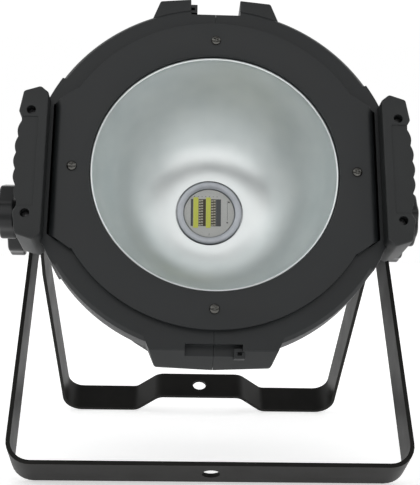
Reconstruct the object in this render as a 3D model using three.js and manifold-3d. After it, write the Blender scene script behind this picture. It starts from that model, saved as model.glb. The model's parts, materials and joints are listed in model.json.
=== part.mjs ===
// LED par can light on a double bracket, at rest on a floor. Millimetres, +Z up, the beam leaves towards -Y.
import * as THREE from 'three';
import { mergeVertices } from 'three/addons/utils/BufferGeometryUtils.js';
import Module from 'manifold-3d';

const wasm = await Module();
wasm.setup();

// Pose of the head and of the two brackets
const TILT = 16.5; // the head looks up by this many degrees
const FRONT_LEAN = 35; // the front bracket leans forward from straight down

// Face
const PLATE_R = 117.5;
const PLATE_T = 2.5;
const OPENING_R = 90.5;
const EAR_X = 117.4;
const EAR_BEND = 6.4;
const EAR_BACK = 22;
const SCREW_CIRCLE = 103;

// Housing
const RING_R = 133.6;
const BLOCK_R = 134.3; // the moulded blocks that carry the grips
const GRIP_Y = -9; // front face of the grips
const GRIP_SCREW_X = 132.8;
const GRIP_SCREW_Z = 39;
const SEAM = 0.1; // half of the gap between the housing halves
const REAR_Y = 190; // where the housing halves end and the rear cover begins

// Light source
const REFLECTOR_R = 89.5;
const REFLECTOR_Y = 4;
const NECK_R = 27.8;
const NECK_Y = 101;
const EMITTER_R = 20.6;

// Pivots, on the optical axis behind the face of the bezel plate
const FRONT_PIVOT = 108;
const REAR_PIVOT = 156;
const BOSS_R = 16.5;
const STUD_R = 3.9;
const KNOB_R = 22.2;
const KNOB_OUT = 157.5; // inner face of the knob's wheel
const KNOB_T = 13;

// Brackets: half widths are measured outside the legs.
const STRIP = 30; // width of the bent strip
const STRIP_T = 3;
const STRIP_HOLE = 6.5;
const FRONT_LENGTH = 223.4;
const FRONT_TOP = 141.4;
const FRONT_BAR = 141.6;
const REAR_LENGTH = 213.5;
const REAR_TOP = 144.4;
const REAR_BAR = 134.1;
const REAR_KNEE = 39; // the rear legs lean inwards from this far below the pivot
const REAR_RAISE = 18.6; // the middle of the rear bar stands back towards the pivot

// Rear
const COVER_R = 108;
const COVER_Y = 222; // outer face of the rear cover
const FAN = 92;

const rad = THREE.MathUtils.degToRad;
const FLOOR_REACH = FRONT_LENGTH * Math.cos(rad(FRONT_LEAN)) + (STRIP / 2) * Math.sin(rad(FRONT_LEAN));
const REAR_REACH = FLOOR_REACH - (REAR_PIVOT - FRONT_PIVOT) * Math.sin(rad(TILT));
const REAR_LEAN = THREE.MathUtils.radToDeg(
  Math.acos(REAR_REACH / Math.hypot(REAR_LENGTH, STRIP / 2)) + Math.atan2(STRIP / 2, REAR_LENGTH),
);

const paint = (color, roughness, metalness) =>
  new THREE.MeshStandardMaterial({ color, roughness, metalness });
const BLACK = paint(0x2a2e30, 0.6, 0);
const GRIP = paint(0x313536, 0.65, 0);
const STRIP_PAINT = paint(0x26282a, 0.5, 0.3);
const STEEL = paint(0xb9bcbf, 0.35, 0.9);
const ALUMINIUM = paint(0xc3c8c8, 0.3, 0.9);
const BRASS = paint(0xb08d4a, 0.4, 0.9);
const CERAMIC = paint(0xe8e6df, 0.5, 0);
const RUBBER = paint(0x17181a, 0.8, 0);
const KNOB = paint(0x1c1e20, 0.35, 0);
const GLASS = paint(0x1a2226, 0.1, 0);

function solid(geometry) {
  geometry.deleteAttribute('normal');
  geometry.deleteAttribute('uv');
  const g = mergeVertices(geometry, 1e-4);
  const mesh = new wasm.Mesh({
    numProp: 3,
    vertProperties: new Float32Array(g.attributes.position.array),
    triVerts: new Uint32Array(g.index.array),
  });
  return new wasm.Manifold(mesh);
}

function geometryOf(body) {
  const mesh = body.getMesh();
  const g = new THREE.BufferGeometry();
  g.setAttribute('position', new THREE.BufferAttribute(new Float32Array(mesh.vertProperties), 3));
  g.setIndex(new THREE.BufferAttribute(new Uint32Array(mesh.triVerts), 1));
  g.computeVertexNormals();
  return g;
}

const union = (...bodies) => bodies.reduce((a, b) => a.add(b));
const range = (n) => Array.from({ length: n }, (_, i) => i);

function box(x0, x1, y0, y1, z0, z1) {
  const g = new THREE.BoxGeometry(x1 - x0, y1 - y0, z1 - z0);
  return solid(g.translate((x0 + x1) / 2, (y0 + y1) / 2, (z0 + z1) / 2));
}

function rodY(r, y0, y1, x = 0, z = 0, sides = 24) {
  return solid(new THREE.CylinderGeometry(r, r, y1 - y0, sides).translate(x, (y0 + y1) / 2, z));
}

function rodX(r, x0, x1, y = 0, z = 0, sides = 24) {
  const g = new THREE.CylinderGeometry(r, r, x1 - x0, sides).rotateZ(Math.PI / 2);
  return solid(g.translate((x0 + x1) / 2, y, z));
}

function rodZ(r, z0, z1, x = 0, y = 0, sides = 24) {
  const g = new THREE.CylinderGeometry(r, r, z1 - z0, sides).rotateX(Math.PI / 2);
  return solid(g.translate(x, y, (z0 + z1) / 2));
}

// Revolves a closed [radius, y] outline about the Y axis.
function lathe(outline, sides = 40) {
  const points = outline.map(([r, y]) => new THREE.Vector2(r, y));
  if (THREE.ShapeUtils.area(points) < 0) points.reverse();
  return solid(new THREE.LatheGeometry([...points, points[0].clone()], sides));
}

function prism(outline, depth) {
  const shape = new THREE.Shape(outline.map(([a, b]) => new THREE.Vector2(a, b)));
  return new THREE.ExtrudeGeometry(shape, { depth, bevelEnabled: false });
}

// Extrusions of an [x, z], a [y, z] and an [x, y] outline
const alongY = (outline, y0, y1) => solid(prism(outline, y1 - y0).rotateX(Math.PI / 2).translate(0, y1, 0));
const alongZ = (outline, z0, z1) => solid(prism(outline, z1 - z0).translate(0, 0, z0));
function alongX(outline, x0, x1) {
  const turn = new THREE.Matrix4().set(0, 0, 1, 0, 1, 0, 0, 0, 0, 1, 0, 0, 0, 0, 0, 1);
  return solid(prism(outline, x1 - x0).applyMatrix4(turn).translate(x0, 0, 0));
}

function arc(cx, cy, r, from, to, steps) {
  return range(steps + 1).map((i) => {
    const a = rad(from + ((to - from) * i) / steps);
    return [cx + r * Math.cos(a), cy + r * Math.sin(a)];
  });
}

function rounded(width, height, r, cx = 0, cy = 0) {
  const x = width / 2 - r;
  const y = height / 2 - r;
  return [
    ...arc(cx + x, cy + y, r, 0, 90, 2),
    ...arc(cx - x, cy + y, r, 90, 180, 2),
    ...arc(cx - x, cy - y, r, 180, 270, 2),
    ...arc(cx + x, cy - y, r, 270, 360, 2),
  ];
}

const mirrored = (body) => body.mirror([1, 0, 0]);

// ---- Front of the head. Here the face of the bezel plate is y = 0 and the optical axis is x = z = 0.

function bezelPlate() {
  const earLine = [
    [EAR_X + 0.1, 49.9], [101.5, 61.3], [-101.5, 61.3], [-EAR_X - 0.1, 49.9],
    [-EAR_X - 0.1, -49.9], [-101.5, -61.3], [101.5, -61.3], [EAR_X + 0.1, -49.9],
  ];
  const flat = EAR_X - EAR_BEND;
  const fold = [
    ...arc(flat, EAR_BEND, EAR_BEND, -90, 0, 6),
    [EAR_X, EAR_BACK],
    [EAR_X - PLATE_T, EAR_BACK],
    ...arc(flat, EAR_BEND, EAR_BEND - PLATE_T, 0, -90, 6),
  ];
  const ear = alongZ([...fold, [flat - 2, PLATE_T], [flat - 2, 0]], -55, 55);
  const sheet = alongY(earLine, 0, PLATE_T).intersect(box(-flat, flat, -1, 5, -70, 70));
  let plate = union(
    rodY(PLATE_R, 0, PLATE_T, 0, 0, 48).intersect(box(-flat, flat, -1, 5, -130, 130)),
    sheet,
    union(ear, mirrored(ear)).intersect(alongY(earLine, -1, 40)),
    rodY(OPENING_R + 2, 1, 3.7, 0, 0, 40),
  );
  plate = plate.subtract(rodY(OPENING_R, -1, 5, 0, 0, 40));
  for (const i of range(4)) {
    const a = rad(90 * i);
    plate = plate.subtract(rodY(2.2, -1, 5, SCREW_CIRCLE * Math.cos(a), SCREW_CIRCLE * Math.sin(a), 10));
  }
  return plate.subtract(rodX(1.8, -130, 130, 14, 0, 12));
}

function bezelScrew(x, z) {
  const head = lathe([[0, -2.3], [2.6, -1.8], [3.7, -0.6], [3.7, -0.1], [1.9, -0.1], [1.9, 13], [0, 13]], 10);
  const slot = union(box(-2, 2, -3, -1.2, -0.45, 0.45), box(-0.45, 0.45, -3, -1.2, -2, 2));
  return head.subtract(slot).translate([x, 0, z]);
}

function flangeScrew() {
  const head = rodX(3, EAR_X + 0.1, EAR_X + 1.1, 14, 0, 16);
  return head.add(rodX(1.5, 108, EAR_X + 0.5, 14, 0, 12));
}

function shellOutline() {
  return [
    [97, 2.8], [115.2, 2.8], [115.2, 5], [131, 5], [RING_R, 7.4], [RING_R, 29], [125, 31],
    [COVER_R, 184], [COVER_R, REAR_Y], [COVER_R - 3.5, REAR_Y], [COVER_R - 3.5, 184], [121.5, 33],
    [121.5, 14], [93, 14], [93, 8.3], [97, 8.3],
  ];
}

// Closing boss beside the seam at the top
function topBoss() {
  const boss = alongY([[17.8, 122], [54, 110], [54, 124], [46, 139.3], [17.8, 141.9]], 7.4, 29);
  const wall = alongY([[0, 122], [24, 122], [24, 134.5], [0, 134.5]], 26.5, 29);
  return boss.add(wall);
}

// Closing boss at the bottom: it runs on to the seam, its front edge is cut back, and it has a latch recess.
function bottomBoss() {
  const boss = alongY([[0, -122], [0, -138.5], [45, -135], [54, -122], [54, -110]], 7.4, 29);
  const frontCut = alongX([[7, -130], [7, -142], [29, -142], [29, -139.5]], -1, 60);
  return boss.subtract(frontCut);
}

// Small tabs of the latch: one in the recess at the bottom right, one beside the seam at the top left
function latchTab(x, z) {
  const tab = box(x, x + 7.5, 8, 15.5, z, z + 7);
  return tab.subtract(box(x + 2.5, x + 5.5, 7, 13, z + 2.2, z + 4.6));
}

// Bosses for the two pivots, each with a rib above and below, and a web between them
function pivotBosses() {
  const boss = (y, from, to) => {
    const rib = alongY([[from, 0], [127, 0], [127, 18], [from + 4, 27], [from, 27]], -2, 2);
    return union(rodX(BOSS_R, from, to), rib, rib.mirror([0, 0, 1])).translate([0, y, 0]);
  };
  return union(
    boss(FRONT_PIVOT, 114.6, FRONT_TOP - 4.8),
    boss(REAR_PIVOT, 110.6, REAR_TOP - 4.8),
    box(113, 127, FRONT_PIVOT, REAR_PIVOT, -2, 2),
  );
}

// Lugs on the block, into which the grip screws go
function gripLugs() {
  const lug = box(122, 137.2, 5.3, 20, GRIP_SCREW_Z - 4.5, GRIP_SCREW_Z + 4.5);
  return lug.add(lug.mirror([0, 0, 1]));
}

// Right half; the left half mirrors it.
function housingHalf() {
  const block = alongY([...arc(0, 0, BLOCK_R, -32.3, 32.3, 10), ...arc(0, 0, 123.5, 34, -34, 5)], 5, 50);
  let half = union(lathe(shellOutline()), topBoss(), bottomBoss(), block, gripLugs(), pivotBosses());
  half = half.intersect(box(SEAM, 160, -1, REAR_Y + 1, -150, 150));
  half = half.subtract(box(-1, 17.8, 10, 26.5, 125.3, 145)).subtract(box(-1, 17.8, 0, 11, 127.5, 145));
  half = half.subtract(box(-1, 25, 0, 15, -145, -123));
  const earRoom = [[110.4, 55.5], [118.7, 49.6], [118.7, -49.6], [110.4, -55.5]];
  const room = box(110, 119, -1, 8, -56, 56).add(box(114.2, 119, 7, 23.5, -56, 56));
  half = half.subtract(room.intersect(alongY(earRoom, -1, 24)));
  for (const [x, z] of [[0, SCREW_CIRCLE], [0, -SCREW_CIRCLE], [SCREW_CIRCLE, 0]]) {
    half = half.subtract(rodY(2.2, 1, 15, x, z, 10));
  }
  half = half.subtract(rodX(1.8, 104, 120, 14, 0, 12));
  for (const y of [FRONT_PIVOT, REAR_PIVOT]) half = half.subtract(rodX(6.15, 100, 141, y, 0, 16));
  for (const z of [-GRIP_SCREW_Z, GRIP_SCREW_Z]) half = half.subtract(rodY(1.9, 4, 22, GRIP_SCREW_X, z, 8));
  return half;
}

function grip() {
  const shoulder = [[139.3, 34], [141.6, 38], [139, 54], [127, 58], [121.2, 53.2]];
  const bumps = range(21).map((i) => {
    const z = -30.5 + 3.05 * i;
    return [141.9 - 0.0029 * z ** 2 + 1.4 * Math.abs(Math.sin((Math.PI * i) / 4)), z];
  });
  const outline = [...shoulder.map(([x, z]) => [x, -z]).reverse(), ...bumps, ...shoulder];
  let body = alongY(outline, GRIP_Y, 34).subtract(rodY(BLOCK_R + 0.3, 4.7, 40, 0, 0, 60));
  body = body.subtract(box(127.5, 145, GRIP_Y - 1, GRIP_Y + 0.7, -34, 34));
  for (const z of [-GRIP_SCREW_Z, GRIP_SCREW_Z]) {
    body = body.subtract(box(120, 137.6, 4.7, 20.6, z - 5, z + 5));
    const hole = rodY(3.3, -10, -2, GRIP_SCREW_X, z, 12).add(rodY(1.9, -3, 9, GRIP_SCREW_X, z, 8));
    body = body.subtract(hole);
  }
  return body;
}

function gripScrew(z) {
  const screw = rodY(2.9, -4, -2.1, GRIP_SCREW_X, z, 12).add(rodY(1.6, -3, 18, GRIP_SCREW_X, z, 8));
  return screw.subtract(rodY(1.2, -5, -3, GRIP_SCREW_X, z, 6));
}

// ---- Light source

function reflector() {
  const bowl = (grow) =>
    range(7).map((i) => {
      const s = Math.cos((i * Math.PI) / 12);
      const r = NECK_R + (REFLECTOR_R - NECK_R) * s ** 0.9;
      return [r + grow, REFLECTOR_Y + (NECK_Y - REFLECTOR_Y) * Math.sin((i * Math.PI) / 12) ** 1.15];
    });
  const outside = bowl(1.2).slice(1).reverse();
  return lathe([...bowl(0), ...outside, [REFLECTOR_R + 1.4, 5.2], [96, 5.2], [96, REFLECTOR_Y]]);
}

const gasket = () => lathe([[92, 5.5], [96.6, 5.5], [96.6, 8], [92, 8]], 28);
const emitterClamp = () => rodY(26.8, 99.5, 103, 0, 0, 28).subtract(rodY(EMITTER_R + 0.3, 99, 104, 0, 0, 28));
const emitter = () => rodY(EMITTER_R, 101.6, 103.2, 0, 0, 28);
const emitterBoard = () => rodY(33, 103.5, 105.5, 0, 0, 28);

function heatsink() {
  let body = rodY(68, 105.8, 114, 0, 0, 32);
  for (const i of range(11)) {
    const x = (i - 5) * 10.4;
    const half = Math.sqrt(60 ** 2 - x ** 2);
    body = body.add(box(x - 1.3, x + 1.3, 113, 193, -half, half));
  }
  return body;
}

function chassis() {
  let body = rodY(111.2, 114.3, 116.3, 0, 0, 36).subtract(rodY(62.5, 114, 117, 0, 0, 28));
  for (const i of range(4)) {
    const a = rad(45 + 90 * i);
    body = body.subtract(rodY(14, 114, 117, 88 * Math.cos(a), 88 * Math.sin(a), 12));
  }
  return body;
}

const powerSupply = () => box(-34, 34, 116.6, 190, 68, 91);
const driverBox = () => box(-30, 30, 116.6, 176, -90, -68);

// ---- Rear

const CONNECTORS = [[-71, -42], [71, -42], [-71, 40], [71, 40]];
const BUTTONS = [-27, -9, 9, 27];
const BUTTON_Z = 64;
const FUSE_Z = -88;
const FAN_Y = COVER_Y - 28.4; // front of the fan frame
const GRILLE_SCREWS = [[-38, -38], [38, -38], [-38, 38], [38, 38]];

function rearCover() {
  let body = lathe([
    [0, COVER_Y - 3], [COVER_R - 6.5, COVER_Y - 3], [COVER_R - 3, COVER_Y - 7], [COVER_R - 3, REAR_Y + 0.3],
    [COVER_R, REAR_Y + 0.3], [COVER_R, COVER_Y - 5], [COVER_R - 5, COVER_Y], [0, COVER_Y],
  ]);
  const through = (r, x, z, sides) => rodY(r, COVER_Y - 9, COVER_Y + 6, x, z, sides);
  body = body.subtract(through(44, 0, 0, 28));
  for (const [x, z] of CONNECTORS) body = body.subtract(through(12.3, x, z, 16));
  body = body.subtract(through(7.2, 0, FUSE_Z, 16));
  body = body.subtract(box(-25, 25, COVER_Y - 9, COVER_Y + 6, 72, 88));
  for (const x of BUTTONS) body = body.subtract(through(3.6, x, BUTTON_Z, 10));
  for (const i of range(6)) {
    const x = (i - 2.5) * 10;
    body = body.subtract(box(x - 2.4, x + 2.4, COVER_Y - 9, COVER_Y + 6, -74, -56));
  }
  return body;
}

function fanFrame() {
  const half = FAN / 2;
  const duct = rodY(44, FAN_Y - 5, FAN_Y + 30, 0, 0, 28);
  let body = box(-half, half, FAN_Y, FAN_Y + 25, -half, half).subtract(duct);
  const strut = box(-48, 48, FAN_Y + 21.5, FAN_Y + 25, -2, 2);
  const motor = rodY(19, FAN_Y + 20, FAN_Y + 25, 0, 0, 20);
  body = union(body, strut.rotate([0, 45, 0]), strut.rotate([0, -45, 0]), motor);
  for (const [x, z] of GRILLE_SCREWS) body = body.subtract(rodY(2, FAN_Y - 5, FAN_Y + 30, x, z, 8));
  return body;
}

function fanRotor() {
  let body = rodY(19.5, FAN_Y + 2, FAN_Y + 19.5, 0, 0, 20);
  const blade = box(-1, 1, -8, 8, 17, 42).rotate([0, 0, 38]).translate([0, FAN_Y + 11, 0]);
  for (const i of range(7)) body = body.add(blade.rotate([0, (360 * i) / 7, 0]));
  return body;
}

function fanGrille() {
  const [low, high] = [COVER_Y + 0.3, COVER_Y + 2];
  const ring = (r, sides) => lathe([[r, low], [r + 2.6, low], [r + 2.6, high], [r, high]], sides);
  let body = union(ring(18, 18), ring(41, 28));
  for (const a of [45, 135]) {
    body = body.add(box(-53.5, 53.5, low, high, -2, 2).rotate([0, a, 0]));
  }
  for (const [x, z] of GRILLE_SCREWS) body = body.add(rodY(4.5, low, high, x, z, 12));
  for (const [x, z] of GRILLE_SCREWS) body = body.subtract(rodY(1.8, low - 1, high + 1, x, z, 8));
  return body;
}

function controlPanel() {
  const y = COVER_Y;
  let body = alongY(rounded(76, 36, 4, 0, 73), y + 0.3, y + 2.8);
  body = body.subtract(box(-22.3, 22.3, y - 1, y + 4, 73.7, 86.3));
  for (const x of BUTTONS) body = body.subtract(rodY(3.6, y - 1, y + 4, x, BUTTON_Z, 12));
  return body;
}

const displayWindow = () => box(-22, 22, COVER_Y - 5.1, COVER_Y + 2.2, 74, 86);
const button = (x) => rodY(3.2, COVER_Y - 3.5, COVER_Y + 4.4, x, BUTTON_Z, 16);

const contacts = (r, y0, y1) =>
  [90, 210, 330].map((a) => rodY(r, y0, y1, 4.6 * Math.cos(rad(a)), 4.6 * Math.sin(rad(a)), 6));

function socketBody(x, z) {
  const flange = alongY(rounded(26, 31, 3), COVER_Y + 0.3, COVER_Y + 2.8);
  const barrel = rodY(11.8, COVER_Y - 23, COVER_Y + 4, 0, 0, 16);
  return union(flange, barrel).translate([x, 0, z]);
}

function powerSocket([x, z], keyed) {
  const z0 = keyed ? 8.4 : -10.6;
  const key = box(-2, 2, COVER_Y - 10, COVER_Y + 10, z0, z0 + 2.2);
  const mouth = rodY(9.4, COVER_Y - 10, COVER_Y + 10, 0, 0, 16).add(key);
  return socketBody(x, z).subtract(mouth.translate([x, 0, z]));
}

function dmxInlet([x, z]) {
  const pins = contacts(1.3, COVER_Y - 12, COVER_Y - 2);
  const mouth = rodY(9.4, COVER_Y - 11, COVER_Y + 10, 0, 0, 16).subtract(union(...pins));
  return socketBody(x, z).subtract(mouth.translate([x, 0, z]));
}

function dmxOutlet([x, z]) {
  const holes = contacts(1.5, COVER_Y - 7, COVER_Y + 10);
  const notch = box(-3.4, 3.4, COVER_Y - 2.5, COVER_Y + 10, 8, 14.5);
  return socketBody(x, z).subtract(union(...holes, notch).translate([x, 0, z]));
}

const dmxLatch = ([x, z]) => box(x - 3, x + 3, COVER_Y - 0.6, COVER_Y + 6.5, z + 8.6, z + 11.6);

function fuseHolder() {
  const barrel = rodY(7, COVER_Y - 24, COVER_Y + 1, 0, FUSE_Z, 16);
  const rim = rodY(9, COVER_Y + 0.3, COVER_Y + 2, 0, FUSE_Z, 16);
  return barrel.add(rim).subtract(rodY(5.4, COVER_Y - 20, COVER_Y + 9, 0, FUSE_Z, 16));
}

function fuseCap() {
  const plug = rodY(5, COVER_Y - 14, COVER_Y + 3, 0, FUSE_Z, 16);
  const head = rodY(7, COVER_Y + 2.3, COVER_Y + 5.5, 0, FUSE_Z, 20);
  return plug.add(head).subtract(box(-4.5, 4.5, COVER_Y + 4, COVER_Y + 6, FUSE_Z - 0.8, FUSE_Z + 0.8));
}

function safetyEyelet() {
  const foot = box(-13, 13, COVER_Y + 0.3, COVER_Y + 3, 96.5, 105.5);
  const outline = [[COVER_Y + 2, 93], ...arc(COVER_Y + 11, 101, 8, -90, 90, 10), [COVER_Y + 2, 109]];
  const loop = alongX(outline, -3, 3);
  const hole = rodX(4.6, -5, 5, COVER_Y + 10.5, 101, 20);
  return foot.add(loop).subtract(hole);
}

// ---- Pivots. Here the pivot axis is the X axis; `top` is the bracket's half width outside the leg.

const pivotInsert = (top) => rodX(6, 119, top - 5.1, 0, 0, 16).subtract(rodX(4.15, 118, 141, 0, 0, 16));
const washer = (r, x0, x1) => rodX(r, x0, x1, 0, 0, 16).subtract(rodX(4.3, x0 - 1, x1 + 1, 0, 0, 10));

// Knob with its stud; the first lobe stands at `phase` degrees.
function knob(top, phase) {
  const lobes = range(40).map((i) => {
    const a = rad(9 * i);
    const r = KNOB_R + 0.8 * Math.cos(8 * (a - rad(phase)));
    return [r * Math.cos(a), r * Math.sin(a)];
  });
  const wheel = alongX(lobes, KNOB_OUT, KNOB_OUT + KNOB_T);
  const hub = rodX(11, top + 2, KNOB_OUT + 1, 0, 0, 18);
  const cap = rodX(9, KNOB_OUT + KNOB_T - 1, KNOB_OUT + KNOB_T + 0.5, 0, 0, 18);
  return union(wheel, hub, cap, rodX(STUD_R, 121, top + 4, 0, 0, 16));
}

// ---- Brackets. Here the legs hang down from the pivot axis and the strip's width is along Y.

// Rounds each [x, z, radius] corner of an open path.
function roundedPath(corners) {
  return corners.flatMap(([x, z, r], i) => {
    if (!r) return [[x, z]];
    const here = new THREE.Vector2(x, z);
    const before = new THREE.Vector2(...corners[i - 1].slice(0, 2)).sub(here).normalize();
    const after = new THREE.Vector2(...corners[i + 1].slice(0, 2)).sub(here).normalize();
    const half = Math.acos(before.dot(after)) / 2;
    const centre = here.clone().addScaledVector(before.clone().add(after).normalize(), r / Math.sin(half));
    const from = here.clone().addScaledVector(before, r / Math.tan(half)).sub(centre);
    const to = here.clone().addScaledVector(after, r / Math.tan(half)).sub(centre);
    const sweep = Math.atan2(from.cross(to), from.dot(to));
    const steps = Math.max(2, Math.round(Math.abs(sweep) * 4));
    return range(steps + 1).map((k) => {
      const p = from.clone().rotateAround(new THREE.Vector2(), (sweep * k) / steps).add(centre);
      return [p.x, p.y];
    });
  });
}

// Moves a path sideways to its left by t, keeping its bends concentric.
function offsetPath(corners, t) {
  const normals = corners.slice(1).map(([x, z], i) => {
    const d = new THREE.Vector2(x - corners[i][0], z - corners[i][1]).normalize();
    return new THREE.Vector2(-d.y, d.x);
  });
  return corners.map(([x, z, r], i) => {
    const a = normals[Math.max(0, i - 1)];
    const b = normals[Math.min(normals.length - 1, i)];
    const mitre = a.clone().add(b).multiplyScalar(t / (1 + a.dot(b)));
    const left = a.cross(b) > 0;
    return [x + mitre.x, z + mitre.y, r ? r + (left ? -t : t) : 0];
  });
}

// One strip bent into a U: `leg` runs up its right side, `bar` holds the bends of a raised middle.
function bracket(leg, bar, barHalf, length) {
  const left = leg.map(([x, z, r]) => [-x, z, r]).reverse();
  const path = [...left, [-barHalf, -length, 18], ...bar, [barHalf, -length, 18], ...leg];
  const outline = [...roundedPath(path), ...roundedPath(offsetPath(path, STRIP_T)).reverse()];
  const half = STRIP / 2;
  const width = [...arc(0, 0, half, 0, 180, 8), [-half, -length - 10], [half, -length - 10]];
  let body = alongY(outline, -half - 1, half + 1).intersect(alongX(width, -160, 160));
  body = body.subtract(rodX(4.4, -160, 160, 0, 0, 16));
  return body.subtract(rodZ(STRIP_HOLE, -length - 10, -length + 30, 0, 0, 24));
}

const frontBracket = () => bracket([[FRONT_TOP, 20]], [], FRONT_BAR, FRONT_LENGTH);

function rearBracket() {
  const raised = -REAR_LENGTH + REAR_RAISE;
  const bar = [[-62, -REAR_LENGTH, 12], [-40, raised, 12], [40, raised, 12], [62, -REAR_LENGTH, 12]];
  return bracket([[REAR_TOP, -REAR_KNEE, 60], [REAR_TOP, 20]], bar, REAR_BAR, REAR_LENGTH);
}

// ---- Assembly

const meshOf = (name, body, material) => {
  const mesh = new THREE.Mesh(geometryOf(body), material);
  mesh.name = name;
  return mesh;
};

const head = new THREE.Group();
head.rotation.x = -rad(TILT);
const put = (name, body, material) => head.add(meshOf(name, body, material));

put('front_bezel_plate', bezelPlate(), BLACK);
put('bezel_screw_top', bezelScrew(0, SCREW_CIRCLE), STEEL);
put('bezel_screw_bottom', bezelScrew(0, -SCREW_CIRCLE), STEEL);
put('bezel_screw_left', bezelScrew(-SCREW_CIRCLE, 0), STEEL);
put('bezel_screw_right', bezelScrew(SCREW_CIRCLE, 0), STEEL);
put('flange_screw_left', mirrored(flangeScrew()), BLACK);
put('flange_screw_right', flangeScrew(), BLACK);
put('housing_right', housingHalf().add(latchTab(18, -134)), BLACK);
put('housing_left', mirrored(housingHalf()).add(latchTab(-21.5, 130.5)), BLACK);
put('grip_right', grip(), GRIP);
put('grip_left', mirrored(grip()), GRIP);
for (const [side, z] of [['top', GRIP_SCREW_Z], ['bottom', -GRIP_SCREW_Z]]) {
  put(`grip_screw_right_${side}`, gripScrew(z), BLACK);
  put(`grip_screw_left_${side}`, mirrored(gripScrew(z)), BLACK);
}
put('reflector', reflector(), ALUMINIUM);
put('reflector_gasket', gasket(), RUBBER);
put('emitter_clamp_ring', emitterClamp(), ALUMINIUM);
put('cob_emitter', emitter(), CERAMIC);
put('emitter_board', emitterBoard(), ALUMINIUM);
put('heatsink', heatsink(), ALUMINIUM);
put('inner_chassis', chassis(), ALUMINIUM);
put('power_supply', powerSupply(), ALUMINIUM);
put('led_driver', driverBox(), ALUMINIUM);
put('rear_cover', rearCover(), BLACK);
put('fan_frame', fanFrame(), RUBBER);
put('fan_rotor', fanRotor(), RUBBER);
put('fan_grille', fanGrille(), STEEL);
put('control_panel', controlPanel(), RUBBER);
put('display_window', displayWindow(), GLASS);
BUTTONS.forEach((x, i) => put(`button_${i + 1}`, button(-x), RUBBER));
put('power_inlet', powerSocket(CONNECTORS[0], true), KNOB);
put('power_outlet', powerSocket(CONNECTORS[1], false), RUBBER);
put('dmx_inlet', dmxInlet(CONNECTORS[2]), STEEL);
put('dmx_outlet', dmxOutlet(CONNECTORS[3]), STEEL);
put('dmx_latch', dmxLatch(CONNECTORS[3]), RUBBER);
put('fuse_holder', fuseHolder(), RUBBER);
put('fuse_cap', fuseCap(), KNOB);
put('safety_eyelet', safetyEyelet(), STEEL);

const bracketPair = [
  ['front', FRONT_PIVOT, TILT - FRONT_LEAN, frontBracket(), FRONT_TOP, 90],
  ['rear', REAR_PIVOT, TILT + REAR_LEAN, rearBracket(), REAR_TOP, 112.5],
];
for (const [place, pivot, lean, body, top, phase] of bracketPair) {
  const arm = meshOf(`${place}_bracket`, body, STRIP_PAINT);
  arm.position.y = pivot;
  arm.rotation.x = rad(lean);
  head.add(arm);
  for (const [side, flip] of [['right', (piece) => piece], ['left', mirrored]]) {
    const onPivot = (name, piece, material) => {
      put(`${name}_${place}_${side}`, flip(piece).translate([0, pivot, 0]), material);
    };
    onPivot('pivot_insert', pivotInsert(top), BRASS);
    onPivot('inner_washer', washer(15, top - 4.5, top - 3.3), RUBBER);
    onPivot('outer_washer', washer(12, top + 0.3, top + 1.7), STEEL);
    onPivot('knob', knob(top, phase), KNOB);
  }
}

// The origin is the middle of the underside of everything.
const light = new THREE.Group();
light.add(head);
const whole = new THREE.Box3().setFromObject(light, true);
const middle = whole.getCenter(new THREE.Vector3());
head.position.set(-middle.x, -middle.y, -whole.min.z);

export default light;
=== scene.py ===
"""An LED par can light standing on its double bracket, in the frame of its CAD model."""
import json
import math

import bmesh
import bpy
from mathutils import Matrix, Vector


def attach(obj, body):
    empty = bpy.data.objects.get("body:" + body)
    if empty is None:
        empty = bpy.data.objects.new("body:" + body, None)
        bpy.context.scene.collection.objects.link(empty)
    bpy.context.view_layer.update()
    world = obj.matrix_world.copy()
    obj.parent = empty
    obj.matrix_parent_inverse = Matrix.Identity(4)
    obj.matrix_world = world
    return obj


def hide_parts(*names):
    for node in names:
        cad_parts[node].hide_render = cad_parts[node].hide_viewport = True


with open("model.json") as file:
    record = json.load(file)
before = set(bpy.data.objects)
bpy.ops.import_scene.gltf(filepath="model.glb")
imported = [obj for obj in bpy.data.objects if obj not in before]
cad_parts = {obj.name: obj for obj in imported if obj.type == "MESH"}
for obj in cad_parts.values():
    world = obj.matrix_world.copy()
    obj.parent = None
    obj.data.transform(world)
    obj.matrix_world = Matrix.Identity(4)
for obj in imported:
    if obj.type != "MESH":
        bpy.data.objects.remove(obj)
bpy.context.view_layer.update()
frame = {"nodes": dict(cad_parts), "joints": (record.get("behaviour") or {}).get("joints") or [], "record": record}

# ---- Sizes in millimetres. In the head, y runs back from the face of the bezel plate.
PLATE_R = 117.5
PLATE_T = 2.5
OPENING_R = 90.5
EAR_X = 117.4
EAR_BEND = 6.4
EAR_BACK = 22
SCREW_CIRCLE = 103
RING_R = 133.6
BLOCK_R = 134.3
GRIP_Y = -9
GRIP_SCREW_X = 132.8
GRIP_SCREW_Z = 39
SEAM = 0.1
REAR_Y = 190
REFLECTOR_R = 89.5
REFLECTOR_Y = 4
NECK_R = 27.8
NECK_Y = 101
EMITTER_R = 20.6
EMITTER_Y = 101.6
FRONT_PIVOT = 108
REAR_PIVOT = 156
BOSS_R = 16.5
KNOB_R = 22.2
KNOB_OUT = 157.5
KNOB_T = 13
STRIP = 30
STRIP_T = 3
STRIP_HOLE = 6.5
FRONT_LENGTH, FRONT_TOP, FRONT_BAR = 223.4, 141.4, 141.6
REAR_LENGTH, REAR_TOP, REAR_BAR, REAR_KNEE, REAR_RAISE = 213.5, 144.4, 134.1, 39, 18.6
COVER_R = 108            # rear end of the housing
SEAM_GAP = 18.8          # half of the gap between the top bosses
RECESS = 20              # half width of the latch recess
PILOT_R = 2.2            # holes for the screws of the front plate
INSERT_ROOM = 6.15       # bores for the threaded inserts
SIDES = 144
BOTH = (-1, 1)

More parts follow.
